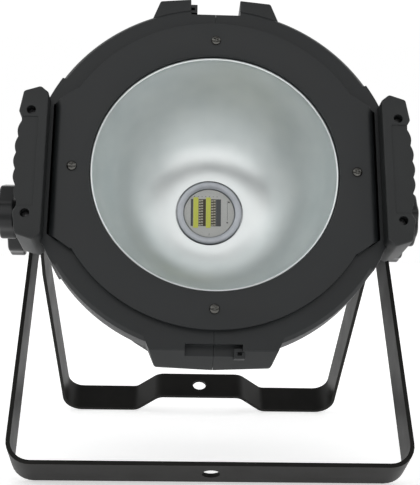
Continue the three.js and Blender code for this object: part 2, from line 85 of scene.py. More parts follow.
# ---- Places, from the joints and mounts of the model
MM = 0.001
joints = {joint["name"]: joint for joint in frame["joints"]}
mounts = {mount["name"]: mount for mount in frame["record"]["mounts"]}
front_pivot = Vector(joints["front_bracket_swing"]["pos_m"])
rear_pivot = Vector(joints["rear_bracket_swing"]["pos_m"])
optical = (rear_pivot - front_pivot).normalized()
TILT = math.atan2(-optical.z, optical.y)
TO_METRES = Matrix.Scale(MM, 4)
face_centre = front_pivot - optical * FRONT_PIVOT * MM
HEAD = Matrix.Translation(face_centre) @ Matrix.Rotation(-TILT, 4, "X") @ TO_METRES


def bracket_place(pivot, mount):
    """Legs hang down from the pivot; the mount's axis is the direction they lean."""
    down = mounts[mount]["axis"]
    lean = math.atan2(down[1], -down[2])
    return Matrix.Translation(pivot) @ Matrix.Rotation(lean, 4, "X") @ TO_METRES


FRONT_PLACE = bracket_place(front_pivot, "front_bar_clamp_face")
REAR_PLACE = bracket_place(rear_pivot, "rear_bar_clamp_face")
MIRROR = Matrix.Scale(-1, 4, (1, 0, 0))
UPSIDE_DOWN = Matrix.Scale(-1, 4, (0, 0, 1))


# ---- Shapes
def arc(cx, cy, r, start, end, steps):
    """Points of a circular arc, in degrees."""
    points = []
    for i in range(steps + 1):
        a = math.radians(start + (end - start) * i / steps)
        points.append((cx + r * math.cos(a), cy + r * math.sin(a)))
    return points


def rounded(width, height, r, cx=0, cy=0, steps=6):
    x, y = width / 2 - r, height / 2 - r
    corners = ((x, y, 0), (-x, y, 90), (-x, -y, 180), (x, -y, 270))
    return [p for sx, sy, a in corners for p in arc(cx + sx, cy + sy, r, a, a + 90, steps)]


def area(outline):
    pairs = zip(outline, outline[1:] + outline[:1])
    return sum(a[0] * b[1] - b[0] * a[1] for a, b in pairs) / 2


def inset(outline, by):
    """Moves every side of a counter-clockwise outline inwards."""
    points = []
    for i, (x, y) in enumerate(outline):
        a = (Vector((x, y)) - Vector(outline[i - 1])).normalized()
        b = (Vector(outline[(i + 1) % len(outline)]) - Vector((x, y))).normalized()
        na, nb = Vector((-a.y, a.x)), Vector((-b.y, b.x))
        shift = (na + nb) * (by / max(0.3, 1 + na.dot(nb)))
        points.append((x + shift.x, y + shift.y))
    return points


class Solid:
    """A closed mesh in millimetres: + joins, - cuts and & keeps."""

    def __init__(self, mesh):
        self.mesh = mesh

    @classmethod
    def made(cls, vertices, faces):
        mesh = bpy.data.meshes.new("solid")
        mesh.from_pydata(vertices, [], faces)
        work = bmesh.new()
        work.from_mesh(mesh)
        bmesh.ops.remove_doubles(work, verts=work.verts, dist=1e-4)
        bmesh.ops.recalc_face_normals(work, faces=work.faces)
        work.to_mesh(mesh)
        work.free()
        return cls(mesh)

    def combined(self, other, operation):
        pair = [bpy.data.objects.new("operand", solid.mesh) for solid in (self, other)]
        for operand in pair:
            bpy.context.scene.collection.objects.link(operand)
        change = pair[0].modifiers.new("boolean", "BOOLEAN")
        change.operation = operation
        change.solver = "MANIFOLD"
        change.object = pair[1]
        graph = bpy.context.evaluated_depsgraph_get()
        result = bpy.data.meshes.new_from_object(pair[0].evaluated_get(graph))
        for operand in pair:
            bpy.data.objects.remove(operand)
        return Solid(result)

    def __add__(self, other):
        return self.combined(other, "UNION")

    def __sub__(self, other):
        return self.combined(other, "DIFFERENCE")

    def __and__(self, other):
        return self.combined(other, "INTERSECT")

    def moved(self, matrix):
        mesh = self.mesh.copy()
        mesh.transform(matrix)
        if matrix.determinant() < 0:
            mesh.flip_normals()
        return Solid(mesh)

    def at(self, x=0, y=0, z=0):
        return self.moved(Matrix.Translation((x, y, z)))

    def turned(self, degrees, axis):
        return self.moved(Matrix.Rotation(math.radians(degrees), 4, axis))


def joined(solids):
    """Several solids that don't touch, or may overlap, as one mesh of closed shells."""
    work = bmesh.new()
    for solid in solids:
        work.from_mesh(solid.mesh)
    mesh = bpy.data.meshes.new("joined")
    work.to_mesh(mesh)
    work.free()
    return Solid(mesh)


def union(first, *rest):
    for other in rest:
        first = first + other
    return first


def layered(layers, place):
    """Skins equal outlines, each (points, height), and closes both ends; place maps (a, b, height) to 3-D."""
    count = len(layers[0][0])
    vertices = [place(a, b, height) for points, height in layers for a, b in points]
    faces = [tuple(range(count)), tuple(range(len(vertices) - count, len(vertices)))]
    for k in range(len(layers) - 1):
        for i in range(count):
            j = (i + 1) % count
            faces.append((k * count + i, k * count + j, (k + 1) * count + j, (k + 1) * count + i))
    return Solid.made(vertices, faces)


PLACES = {
    "X": lambda a, b, h: (h, a, b),
    "Y": lambda a, b, h: (a, h, b),
    "Z": lambda a, b, h: (a, b, h),
}


def prism(outline, low, high, axis="Y", soft_low=0.0, soft_high=0.0, steps=4):
    """An extruded outline whose end edges may be rounded by the soft radii."""
    if area(outline) < 0:
        outline = outline[::-1]
    layers = []
    for k in range(steps + 1 if soft_low else 1):
        a = math.pi / 2 * k / steps
        layers.append((inset(outline, soft_low * (1 - math.sin(a))), low + soft_low * (1 - math.cos(a))))
    for k in range(steps, -1, -1) if soft_high else (0,):
        a = math.pi / 2 * k / steps
        layers.append((inset(outline, soft_high * (1 - math.sin(a))), high - soft_high * (1 - math.cos(a))))
    if not soft_high:
        layers[-1] = (outline, high)
    if not soft_low:
        layers[0] = (outline, low)
    return layered(layers, PLACES[axis])


def box(x0, x1, y0, y1, z0, z1):
    return prism([(x0, z0), (x1, z0), (x1, z1), (x0, z1)], y0, y1)


def rod(r, low, high, axis="Y", a=0, b=0, sides=48, soft=0.0):
    outline = [(a + x, b + y) for x, y in arc(0, 0, r, 0, 360, sides)[:-1]]
    return prism(outline, low, high, axis, soft, soft)


def revolve(outline, sides=SIDES, axis="Y"):
    """Turns a closed (radius, height) outline about an axis."""
    vertices, rings, faces = [], [], []
    for r, h in outline:
        if r < 1e-6:
            rings.append([len(vertices)] * sides)
            vertices.append(PLACES[axis](0, 0, h))
            continue
        rings.append(list(range(len(vertices), len(vertices) + sides)))
        for i in range(sides):
            a = math.tau * i / sides
            vertices.append(PLACES[axis](r * math.cos(a), r * math.sin(a), h))
    for ring, after in zip(rings, rings[1:] + rings[:1]):
        for i in range(sides):
            j = (i + 1) % sides
            corners = list(dict.fromkeys((ring[i], ring[j], after[j], after[i])))
            if len(corners) > 2:
                faces.append(corners)
    return Solid.made(vertices, faces)


def softened(corners, steps=4):
    """Rounds each (x, y, radius) corner of a closed outline."""
    points = []
    for i, corner in enumerate(corners):
        here = Vector(corner[:2])
        radius = corner[2] if len(corner) > 2 else 0
        before = (Vector(corners[i - 1][:2]) - here).normalized()
        after = (Vector(corners[(i + 1) % len(corners)][:2]) - here).normalized()
        if not radius or before.dot(after) < -0.9999:
            points.append(tuple(here))
            continue
        half = math.acos(before.dot(after)) / 2
        centre = here + (before + after).normalized() * (radius / math.sin(half))
        start = here + before * (radius / math.tan(half)) - centre
        end = here + after * (radius / math.tan(half)) - centre
        sweep = math.atan2(start.x * end.y - start.y * end.x, start.dot(end))
        for k in range(steps + 1):
            turn = Matrix.Rotation(sweep * k / steps, 2)
            points.append(tuple(centre + turn @ start))
    return points


# ---- Materials
class Nodes:
    """Builds one node material; sizes are in millimetres on the object."""

    def __init__(self, name):
        self.material = bpy.data.materials.new(name)
        self.material.use_nodes = True
        self.tree = self.material.node_tree
        self.shader = self.tree.nodes["Principled BSDF"]
        self.place = self.add("ShaderNodeTexCoord").outputs["Object"]

    def add(self, kind, **settings):
        node = self.tree.nodes.new(kind)
        for key, value in settings.items():
            setattr(node, key, value)
        return node

    def link(self, source, target):
        self.tree.links.new(source, target)

    def noise(self, size, detail=2.0, stretch=(1, 1, 1), rough=0.5):
        mapping = self.add("ShaderNodeMapping")
        mapping.inputs["Scale"].default_value = [s / (size * MM) for s in stretch]
        self.link(self.place, mapping.inputs["Vector"])
        node = self.add("ShaderNodeTexNoise")
        node.inputs["Scale"].default_value = 1.0
        node.inputs["Detail"].default_value = detail
        node.inputs["Roughness"].default_value = rough
        self.link(mapping.outputs["Vector"], node.inputs["Vector"])
        return node.outputs["Fac"]

    def spread(self, value, low, high, start=0.3, end=0.7):
        node = self.add("ShaderNodeMapRange")
        node.inputs["From Min"].default_value = start
        node.inputs["From Max"].default_value = end
        node.inputs["To Min"].default_value = low
        node.inputs["To Max"].default_value = high
        self.link(value, node.inputs["Value"])
        return node.outputs["Result"]

    def math(self, operation, a, b):
        node = self.add("ShaderNodeMath", operation=operation)
        for socket, value in zip(node.inputs, (a, b)):
            if isinstance(value, (int, float)):
                socket.default_value = value
            else:
                self.link(value, socket)
        return node.outputs[0]

    def mix(self, factor, low, high):
        node = self.add("ShaderNodeMix", data_type="RGBA")
        self.link(factor, node.inputs["Factor"])
        for socket, value in ((node.inputs["A"], low), (node.inputs["B"], high)):
            if isinstance(value, tuple):
                socket.default_value = (*value, 1)
            else:
                self.link(value, socket)
        return node.outputs["Result"]

    def edges(self, radius):
        """Rounded normals, and a mask that is 1 along sharp edges."""
        bevel = self.add("ShaderNodeBevel", samples=4)
        bevel.inputs["Radius"].default_value = radius * MM
        flat = self.add("ShaderNodeNewGeometry")
        dot = self.add("ShaderNodeVectorMath", operation="DOT_PRODUCT")
        self.link(bevel.outputs["Normal"], dot.inputs[0])
        self.link(flat.outputs["Normal"], dot.inputs[1])
        return bevel.outputs["Normal"], self.spread(dot.outputs["Value"], 1, 0, 0.75, 0.98)

    def bump(self, height, distance, strength=1.0, normal=None):
        node = self.add("ShaderNodeBump")
        node.inputs["Distance"].default_value = distance * MM
        node.inputs["Strength"].default_value = strength
        self.link(height, node.inputs["Height"])
        if normal:
            self.link(normal, node.inputs["Normal"])
        return node.outputs["Normal"]

    def set(self, **values):
        for key, value in values.items():
            self.shader.inputs[key.replace("_", " ")].default_value = value


def coated(name, colour, rough, grain, depth, edge_sheen=0.25, edge=0.4, specular=0.5):
    """Moulded plastic or powder coat: fine grain, faint blotches and a painted highlight along sharp edges."""
    m = Nodes(name)
    normal, sharp = m.edges(edge)
    blotch = m.noise(23, 4)
    fine = m.noise(grain, 3, rough=0.6)
    light = tuple(c * 1.28 for c in colour)
    dark = tuple(c * 0.78 for c in colour)
    base = m.mix(m.spread(blotch, 0, 1), dark, light)
    # Painted highlight: a lighter colour along sharp edges, broken up by noise.
    sheen_mask = m.math("MULTIPLY", sharp, m.spread(m.noise(3.1, 5, rough=0.7), 0, edge_sheen, 0.42, 0.66))
    base = m.mix(sheen_mask, base, tuple(min(1, c * 4 + 0.02) for c in colour))
    m.link(base, m.shader.inputs["Base Color"])
    mottle = m.math("ADD", m.math("MULTIPLY", blotch, 0.6), m.math("MULTIPLY", fine, 0.4))
    m.link(m.spread(mottle, rough - 0.07, rough + 0.07), m.shader.inputs["Roughness"])
    m.link(m.bump(fine, depth, 1.0, normal), m.shader.inputs["Normal"])
    m.shader.inputs["Specular IOR Level"].default_value = specular
    return m.material


def metal(name, colour, rough, scratch=0.004, stretch=(1, 14, 1), size=0.5, edge=0.25):
    """Bare or plated metal with directional scratches."""
    m = Nodes(name)
    normal, sharp = m.edges(edge)
    lines = m.noise(size, 4, stretch, 0.6)
    blotch = m.noise(9, 3)
    base = m.mix(m.spread(blotch, 0, 1), tuple(c * 0.86 for c in colour), colour)
    # Painted highlight: the base colour is lightened along sharp edges.
    m.link(m.mix(m.math("MULTIPLY", sharp, 0.5), base, tuple(min(1, c * 1.15) for c in colour)),
           m.shader.inputs["Base Color"])
    m.link(m.spread(lines, rough - 0.06, rough + 0.08), m.shader.inputs["Roughness"])
    m.link(m.bump(lines, scratch, 0.6, normal), m.shader.inputs["Normal"])
    m.set(Metallic=1.0)
    return m.material


def satin_reflector():
    """Bright anodised sheet, spun: hazy, with fine grain and soft clouds."""
    m = Nodes("reflector_metal")
    fine = m.noise(0.35, 3)
    cloud = m.noise(34, 2)
    base = m.mix(m.spread(cloud, 0, 1), (0.76, 0.80, 0.80), (0.85, 0.88, 0.875))
    m.link(base, m.shader.inputs["Base Color"])
    mottle = m.math("ADD", m.math("MULTIPLY", fine, 0.4), m.math("MULTIPLY", cloud, 0.6))
    m.link(m.spread(mottle, 0.33, 0.42), m.shader.inputs["Roughness"])
    m.link(m.bump(fine, 0.006, 0.5), m.shader.inputs["Normal"])
    m.set(Metallic=1.0)
    return m.material


def rubber(name, colour, rough=0.8):
    # A faint painted highlight along sharp edges.
    return coated(name, colour, rough, 0.5, 0.02, edge_sheen=0.1, edge=0.3, specular=0.35)


def plain(name, colour, rough, speck, depth=0.01, specular=0.5):
    """Light-coloured ceramic or resin with small specks."""
    m = Nodes(name)
    dots = m.noise(speck, 3)
    base = m.mix(m.spread(dots, 0, 1), tuple(c * 0.88 for c in colour), colour)
    m.link(base, m.shader.inputs["Base Color"])
    m.link(m.spread(dots, rough - 0.05, rough + 0.08), m.shader.inputs["Roughness"])
    m.link(m.bump(dots, depth, 0.7), m.shader.inputs["Normal"])
    m.shader.inputs["Specular IOR Level"].default_value = specular
    return m.material


def glass():
    m = Nodes("display_glass")
    smear = m.noise(11, 4)
    base = m.mix(m.spread(smear, 0, 1), (0.012, 0.017, 0.021), (0.02, 0.027, 0.032))
    m.link(base, m.shader.inputs["Base Color"])
    m.link(m.spread(smear, 0.05, 0.16), m.shader.inputs["Roughness"])
    m.link(m.bump(smear, 0.004, 0.4), m.shader.inputs["Normal"])
    return m.material


BLACK = (0.0085, 0.0102, 0.0110)
# In each coat, the edge amount is the strength of a painted highlight along sharp edges.
COATS = {
    "black_housing": dict(colour=BLACK, rough=0.50, grain=0.6, depth=0.03, edge_sheen=0.15),
    "black_bezel": dict(colour=BLACK, rough=0.46, grain=0.35, depth=0.012, edge_sheen=0.16),
    "grip_rubber": dict(colour=(0.012, 0.0135, 0.0138), rough=0.54, grain=0.45, depth=0.03, edge_sheen=0.12,
                        edge=0.6),
    "bracket_paint": dict(colour=(0.0105, 0.0102, 0.0092), rough=0.44, grain=0.4, depth=0.016, edge_sheen=0.3,
                          edge=0.35, specular=0.14),
    "knob_plastic": dict(colour=(0.009, 0.0098, 0.0104), rough=0.34, grain=0.8, depth=0.012, edge_sheen=0.15,
                         edge=0.5, specular=0.4),
    "black_part": dict(colour=(0.020, 0.021, 0.022), rough=0.5, grain=0.4, depth=0.015, edge_sheen=0.12),
    "black_screw": dict(colour=(0.030, 0.031, 0.032), rough=0.36, grain=0.3, depth=0.01, edge_sheen=0.5,
                        specular=0.7),
    "fan_plastic": dict(colour=(0.016, 0.017, 0.018), rough=0.45, grain=0.5, depth=0.01, edge_sheen=0.1),
}
MATERIALS = {name: coated(name, **coat) for name, coat in COATS.items()}
MATERIALS |= {
    "rubber_black": rubber("rubber_black", (0.014, 0.014, 0.015)),
    "steel": metal("steel", (0.58, 0.59, 0.60), 0.30),
    "screw_steel": metal("screw_steel", (0.12, 0.118, 0.11), 0.2, 0.003, (1, 1, 1), 0.8),
    "aluminium": metal("aluminium", (0.60, 0.62, 0.63), 0.36, 0.006, (1, 1, 9), 0.7),
    "brass": metal("brass", (0.60, 0.45, 0.20), 0.28, 0.004, (12, 1, 1), 0.5),
    "reflector_metal": satin_reflector(),
    "display_glass": glass(),
    "ceramic": plain("ceramic", (0.62, 0.62, 0.60), 0.42, 0.5),
}
PHOSPHOR = plain("phosphor", (0.74, 0.76, 0.12), 0.5, 0.6, 0.02)
PAD_LIGHT = plain("pad_light", (0.52, 0.49, 0.40), 0.35, 0.8)
PAD_DARK = plain("pad_dark", (0.035, 0.035, 0.03), 0.4, 0.8)
PAD_BROWN = plain("pad_brown", (0.06, 0.045, 0.02), 0.45, 0.8)
PAD_GREY = plain("pad_grey", (0.07, 0.075, 0.08), 0.4, 0.8)
RING_GREY = metal("ring_grey", (0.42, 0.44, 0.47), 0.34, 0.004, (1, 1, 1), 0.6)

bodies = frame["record"]["behaviour"]["bodies"]
node_body = {node: body for body, nodes in bodies.items() for node in nodes}
node_slot = {part["node"]: part["material_slot"] for part in frame["record"]["subparts"]}
for node, thing in frame["nodes"].items():
    thing.data.materials.clear()
    thing.data.materials.append(MATERIALS[node_slot[node]])


def piece(name, solid, place, *nodes, body=None, slot=None, look=None, crease=22, bevel=0.0):
    """Puts one finished piece into the scene, standing for the CAD nodes named."""
    mesh = solid.mesh.copy()
    mesh.name = name
    work = bmesh.new()
    work.from_mesh(mesh)
    bmesh.ops.remove_doubles(work, verts=work.verts, dist=1e-4)
    wide = [face for face in work.faces if len(face.verts) > 4]
    bmesh.ops.triangulate(work, faces=wide, quad_method="BEAUTY", ngon_method="BEAUTY")
    work.to_mesh(mesh)
    work.free()
    mesh.transform(place)
    if place.determinant() < 0:
        mesh.flip_normals()
    slot = slot or node_slot[nodes[0]]
    mesh.materials.clear()
    mesh.materials.append(look or MATERIALS[slot])
    mesh.shade_smooth()
    mesh.set_sharp_from_angle(angle=math.radians(crease))
    thing = bpy.data.objects.new(name, mesh)
    bpy.context.scene.collection.objects.link(thing)
    if bevel:
        soft = thing.modifiers.new("soft_edges", "BEVEL")
        soft.width = bevel * MM
        soft.segments = 2
        soft.limit_method = "ANGLE"
        soft.angle_limit = math.radians(40)
    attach(thing, body or node_body[nodes[0]])
    if nodes:
        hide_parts(*nodes)
    return thing


# ---- Front plate and its screws
def bezel_plate():
    edge = EAR_X + 0.1
    ears = [(edge, 49.9), (101.5, 61.3), (-101.5, 61.3), (-edge, 49.9)]
    ears += [(x, -z) for x, z in reversed(ears)]
    flat = EAR_X - EAR_BEND
    fold = arc(flat, EAR_BEND, EAR_BEND, -90, 0, 12) + [(EAR_X, EAR_BACK), (EAR_X - PLATE_T, EAR_BACK)]
    fold += arc(flat, EAR_BEND, EAR_BEND - PLATE_T, 0, -90, 12) + [(flat - 2, PLATE_T), (flat - 2, 0)]
    ear = prism(fold, -55, 55, "Z")
    disc = rod(PLATE_R, 0, PLATE_T, sides=2 * SIDES) & box(-flat, flat, -1, 5, -130, 130)
    sheet = prism(ears, 0, PLATE_T) & box(-flat, flat, -1, 5, -70, 70)
    wings = joined([ear, ear.moved(MIRROR)]) & prism(ears, -1, 40)
    plate = union(disc, sheet, wings, rod(OPENING_R + 2, 1, 3.7, sides=SIDES))
    lip = revolve([(0, -1), (OPENING_R + 0.8, -1), (OPENING_R + 0.8, 0), (OPENING_R + 0.25, 0.2),
                   (OPENING_R, 0.8), (OPENING_R, 5), (0, 5)])
    plate = plate - lip
    for i in range(4):
        a = math.pi / 2 * i
        plate = plate - rod(PILOT_R, -1, 5, "Y", SCREW_CIRCLE * math.cos(a), SCREW_CIRCLE * math.sin(a), 24)
    return plate - rod(1.8, -130, 130, "X", 14, 0, 24)


def pan_screw(turn):
    """Pan head with a cross recess, on the optical axis, its head in front of y = 0."""
    dome = [(0, -2.3), (1.2, -2.24), (2.3, -1.98), (3.1, -1.45), (3.55, -0.8), (3.7, -0.25), (3.6, -0.1)]
    head = revolve([*dome, (1.9, -0.1), (1.9, 13), (0, 13)], 48)
    cross = box(-1.95, 1.95, -3.2, -1.15, -0.4, 0.4) + box(-0.4, 0.4, -3.2, -1.15, -1.95, 1.95)
    return (head - cross - revolve([(0, -3.2), (1.0, -3.2), (0, -0.7)], 24)).turned(turn, "Y")


piece("bezel_plate", bezel_plate(), HEAD, "front_bezel_plate")
for side, x, z, turn in (("top", 0, 1, 20), ("bottom", 0, -1, -12), ("left", -1, 0, 38), ("right", 1, 0, 5)):
    screw = pan_screw(turn).at(SCREW_CIRCLE * x, 0, SCREW_CIRCLE * z)
    piece(f"pan_screw_{side}", screw, HEAD, f"bezel_screw_{side}")
button_head = revolve([(0, 1.15), (1.7, 1.0), (2.7, 0.55), (3, 0), (0, 0)], 36, "X").at(EAR_X + 0.1, 14, 0)
flange_screw = button_head + rod(1.5, 108, EAR_X + 0.5, "X", 14, 0, 24)
flange_screw = flange_screw - rod(0.9, EAR_X + 0.5, EAR_X + 3, "X", 14, 0, 6)
piece("wing_screw_right", flange_screw, HEAD, "flange_screw_right")
piece("wing_screw_left", flange_screw.moved(MIRROR), HEAD, "flange_screw_left")


# ---- Housing
def housing_half():
    """Right half; the left half mirrors it."""
    shell = softened([
        (97, 2.8), (115.2, 2.8, 0.4), (115.2, 5), (131, 5, 1.2), (RING_R, 7.4, 1.2), (RING_R, 29, 0.8),
        (125, 31, 1.2), (COVER_R, 184, 1.5), (COVER_R, REAR_Y, 0.4), (COVER_R - 3.5, REAR_Y),
        (COVER_R - 3.5, 184), (121.5, 33), (121.5, 14), (93, 14), (93, 8.3), (97, 8.3),
    ])
    block = prism(arc(0, 0, BLOCK_R, -32.3, 32.3, 40) + arc(0, 0, 123.5, 34, -34, 20), 5, 50, "Y", 0.8, 0.8)
    top_boss = [(SEAM_GAP, 122), (49, 110), (49, 122, 1), (42.3, 139.6, 2), (SEAM_GAP, 141.9, 0.8)]
    low_boss = [(0, -122), (0, -141), (41, -139.3, 2.5), (48.5, -122, 2), (48.5, -110)]
    upper = prism(softened(top_boss), 7.4, 29, "Y", 0.7, 0.7) + box(0, 24, 26.5, 29, 122, 134.5)
    lower = prism(softened(low_boss), 5, 29, "Y", 0, 0.7)
    lug = box(122, 137.2, 5.3, 20, GRIP_SCREW_Z - 4.5, GRIP_SCREW_Z + 4.5)
    lugs = joined([lug, lug.moved(UPSIDE_DOWN)])
    half = union(revolve(shell, 2 * SIDES), upper, lower, block, lugs)
    for y, start, end in ((FRONT_PIVOT, 114.6, FRONT_TOP - 4.8), (REAR_PIVOT, 110.6, REAR_TOP - 4.8)):
        rib = prism([(start, 0), (127, 0), (127, 18), (start + 4, 27), (start, 27)], -2, 2)
        foot = revolve([(0, start), (BOSS_R + 2.5, start), (BOSS_R + 2.4, 119.5), (BOSS_R + 0.9, 121.0),
                        (BOSS_R, 123.5), (BOSS_R, end - 0.5), (BOSS_R - 0.5, end), (0, end)], 72, "X")
        for part in (foot, rib, rib.moved(UPSIDE_DOWN)):
            half = half + part.at(0, y, 0)
    half = half + box(113, 127, FRONT_PIVOT, REAR_PIVOT, -2, 2)
    half = half & box(SEAM, 160, -1, REAR_Y + 1, -150, 150)
    half = half - box(-1, SEAM_GAP, 10, 26.5, 125.3, 145) - box(-1, SEAM_GAP, 0, 11, 127.5, 145)
    front_cut = [(-1, -130.5), (5.5, -130.5), (5.8, -131.2), (29.5, -141.5), (29.5, -146), (-1, -146)]
    half = half - prism(front_cut, -1, 60, "X") - box(-1, RECESS, 0, 12, -145, -126.5)
    ear_room = prism([(110.4, 55.5), (118.7, 49.6), (118.7, -49.6), (110.4, -55.5)], -1, 24)
    half = half - ((box(110, 119, -1, 8, -56, 56) + box(114.2, 119, 7, 23.5, -56, 56)) & ear_room)
    for x, z in ((0, SCREW_CIRCLE), (0, -SCREW_CIRCLE), (SCREW_CIRCLE, 0)):
        half = half - rod(PILOT_R, 1, 15, "Y", x, z, 20)
    half = half - rod(1.8, 104, 120, "X", 14, 0, 20)
    for y in (FRONT_PIVOT, REAR_PIVOT):
        half = half - rod(INSERT_ROOM, 100, 141, "X", y, 0, 40)
    for z in BOTH:
        half = half - rod(1.9, 4, 22, "Y", GRIP_SCREW_X, z * GRIP_SCREW_Z, 20)
    return half


def latch_tab(x, z):
    return box(x, x + 7.5, 8, 15.5, z, z + 7) - box(x + 2.5, x + 5.5, 7, 13, z + 2.2, z + 4.6)


shell = housing_half()
piece("shell_right", shell + latch_tab(14, -136), HEAD, "housing_right")
piece("shell_left", shell.moved(MIRROR) + latch_tab(-21.5, 130.5), HEAD, "housing_left")


# ---- Grips
def grip():
    shoulder = [(139.3, 34, 0.6), (141.6, 38, 2.2), (139, 54, 2.5), (127, 58, 2.5), (121.2, 53.2, 2)]
    bumps = []
    for i in range(61):
        z = -30.5 + 61 * i / 60
        bumps.append((141.9 - 0.0029 * z ** 2 + 1.4 * abs(math.sin(math.pi * i / 12)), z))
    outline = softened([(x, -z, r) for x, z, r in reversed(shoulder)] + bumps + shoulder)
    body = prism(outline, GRIP_Y, 34, "Y", 1.2, 1.0, 5) - rod(BLOCK_R + 0.3, 4.7, 40, sides=2 * SIDES)
    body = body - prism(rounded(20, 68, 1.2, 137.5, 0), GRIP_Y - 1, GRIP_Y + 0.7)
    for z in BOTH:
        body = body - box(120, 137.6, 4.7, 20.6, z * GRIP_SCREW_Z - 5, z * GRIP_SCREW_Z + 5)
        body = body - rod(3.3, -10, -2, "Y", GRIP_SCREW_X, z * GRIP_SCREW_Z)
        body = body - rod(1.9, -3, 9, "Y", GRIP_SCREW_X, z * GRIP_SCREW_Z, 24)
    return body


def grip_screw(z):
    dome = [(0, -4), (1.6, -3.9), (2.5, -3.5), (2.9, -2.8), (2.9, -2.1), (1.6, -2.1), (1.6, 18), (0, 18)]
    return (revolve(dome, 36) - rod(1.2, -5, -3, sides=6)).at(GRIP_SCREW_X, 0, z)


handle = grip()
piece("handle_right", handle, HEAD, "grip_right")
piece("handle_left", handle.moved(MIRROR), HEAD, "grip_left")
for side, z in (("top", GRIP_SCREW_Z), ("bottom", -GRIP_SCREW_Z)):
    screw = grip_screw(z)
    piece(f"handle_screw_right_{side}", screw, HEAD, f"grip_screw_right_{side}")
    piece(f"handle_screw_left_{side}", screw.moved(MIRROR), HEAD, f"grip_screw_left_{side}")


# ---- Reflector and emitter
def reflector():
    steps = 40
    inside, outside = [], []
    for i in range(steps + 1):
        s = math.pi / 2 * i / steps
        r = NECK_R + (REFLECTOR_R - NECK_R) * max(0, math.cos(s)) ** 0.9
        y = REFLECTOR_Y + (NECK_Y - REFLECTOR_Y) * math.sin(s) ** 1.15
        inside.append((r, y))
        outside.append((r + 1.2, y))
    bead = arc(REFLECTOR_R - 0.1, REFLECTOR_Y - 0.1, 1.0, 170, 350, 12)
    rim = [(REFLECTOR_R + 1.5, REFLECTOR_Y), (96, REFLECTOR_Y), (96, 5.2), (REFLECTOR_R + 1.4, 5.2)]
    return revolve([*reversed(inside[1:]), *bead, *rim, *outside[2:]], SIDES)


piece("bowl", reflector(), HEAD, "reflector", crease=60)
piece("bowl_gasket", revolve(softened([(92, 5.5, 0.5), (96.6, 5.5, 0.5), (96.6, 8), (92, 8)]), SIDES), HEAD,
      "reflector_gasket")
clamp = [(EMITTER_R + 0.3, 100.6), (EMITTER_R + 0.9, 100.0), (22.6, 99.8), (25.8, 99.5), (26.5, 99.7),
         (26.8, 100.2), (26.8, 103), (EMITTER_R + 0.3, 103)]
piece("emitter_ring", revolve(clamp, 96), HEAD, "emitter_clamp_ring", look=RING_GREY)
disc = revolve(softened([(0, EMITTER_Y), (EMITTER_R, EMITTER_Y, 0.3), (EMITTER_R, 103.2), (0, 103.2)]), 96)
piece("emitter_disc", disc, HEAD, "cob_emitter")


def on_emitter(name, look, rectangles, thick):
    """Thin rectangles (x0, x1, z0, z1) that lie on the face of the emitter."""
    parts = [
        prism([(x0, z0), (x1, z0), (x1, z1), (x0, z1)], EMITTER_Y - thick, EMITTER_Y - 0.005, "Y", 0.05, 0, 2)
        for x0, x1, z0, z1 in rectangles
    ]
    return piece(name, joined(parts), HEAD, body="head", slot="ceramic", look=look)


FIELD = (-11.3, 12.1)
on_emitter("phosphor_stripes", PHOSPHOR, [(-13.1, -9.0, -12.8, 13.6), (-2.7, 1.2, -12.8, 13.6)], 0.25)
on_emitter("field_base", PAD_BROWN, [(-8.85, -2.85, *FIELD), (1.35, 5.4, *FIELD)], 0.12)
on_emitter("dark_stripes", PAD_GREY, [(-15.2, -13.4, *FIELD), (5.55, 9.65, *FIELD)], 0.2)
chips = []
for row in range(10):
    z0 = FIELD[0] + 0.35 + row * 2.32
    for x0, count in ((-8.65, 2), (1.6, 2)):
        for column in range(count):
            shift = 0.25 if column else 0.0
            chips.append((x0 + column * 1.92, x0 + column * 1.92 + 1.6, z0 + shift, z0 + shift + 1.25))
on_emitter("bond_pads", PAD_LIGHT, chips, 0.28)
marks = [(14.85, 15.1, -6, 11), (-0.15, 0.15, -19.2, -17.4)]
marks += [(-12.6 + 3.1 * i, -11.9 + 3.1 * i, 14.1, 14.6) for i in range(7)]
on_emitter("fine_marks", PAD_GREY, marks, 0.06)
arrow = prism([(15.2, 9.2), (17.1, 9.2), (16.15, 10.9)], EMITTER_Y - 0.08, EMITTER_Y - 0.005)
dot = rod(0.65, EMITTER_Y - 0.08, EMITTER_Y - 0.005, "Y", 14.8, -8, 20)
piece("corner_marks", joined([arrow, dot]), HEAD, body="head", slot="ceramic", look=PAD_DARK)


# ---- Knobs, washers and inserts, on the X axis of a pivot
def knob_wheel(top, phase):
    lobes = []
    for i in range(160):
        a = math.tau * i / 160
        r = KNOB_R + 0.8 * math.cos(8 * (a - math.radians(phase)))
        lobes.append((r * math.cos(a), r * math.sin(a)))
    face = KNOB_OUT + KNOB_T
    wheel = prism(lobes, KNOB_OUT, face, "X", 1.8, 2.2, 6)
    dish = revolve([(9.6, face + 2), (9.6, face - 0.4), (11, face - 0.9), (16.5, face - 0.9),
                    (18.5, face + 0.2), (18.5, face + 2)], 72, "X")
    under = revolve([(12.6, KNOB_OUT - 1), (12.6, KNOB_OUT + 3.5), (17.8, KNOB_OUT + 3.5),
                     (18.6, KNOB_OUT - 1)], 72, "X")
    hub = revolve([(4.15, top + 2), (10.4, top + 2), (11, top + 2.6), (11, KNOB_OUT - 2), (12.4, KNOB_OUT + 1),
                   (12.4, KNOB_OUT + 4), (4.15, KNOB_OUT + 4)], 72, "X")
    cap = revolve([(0, face - 2), (9, face - 2), (9, face), (8.4, face + 0.5), (0, face + 0.5)], 72, "X")
    return (wheel - dish - under) + hub + cap


def stud(top):
    """Threaded stud, drawn as rings at the pitch of the thread."""
    outline = [(0, 121), (3.0, 121), (3.9, 122)]
    x = 122.0
    while x < top + 1:
        outline += [(3.9, x + 0.15), (3.35, x + 0.62), (3.9, x + 1.1)]
        x += 1.25
    return revolve([*outline, (3.9, top + 4), (0, top + 4)], 32, "X")


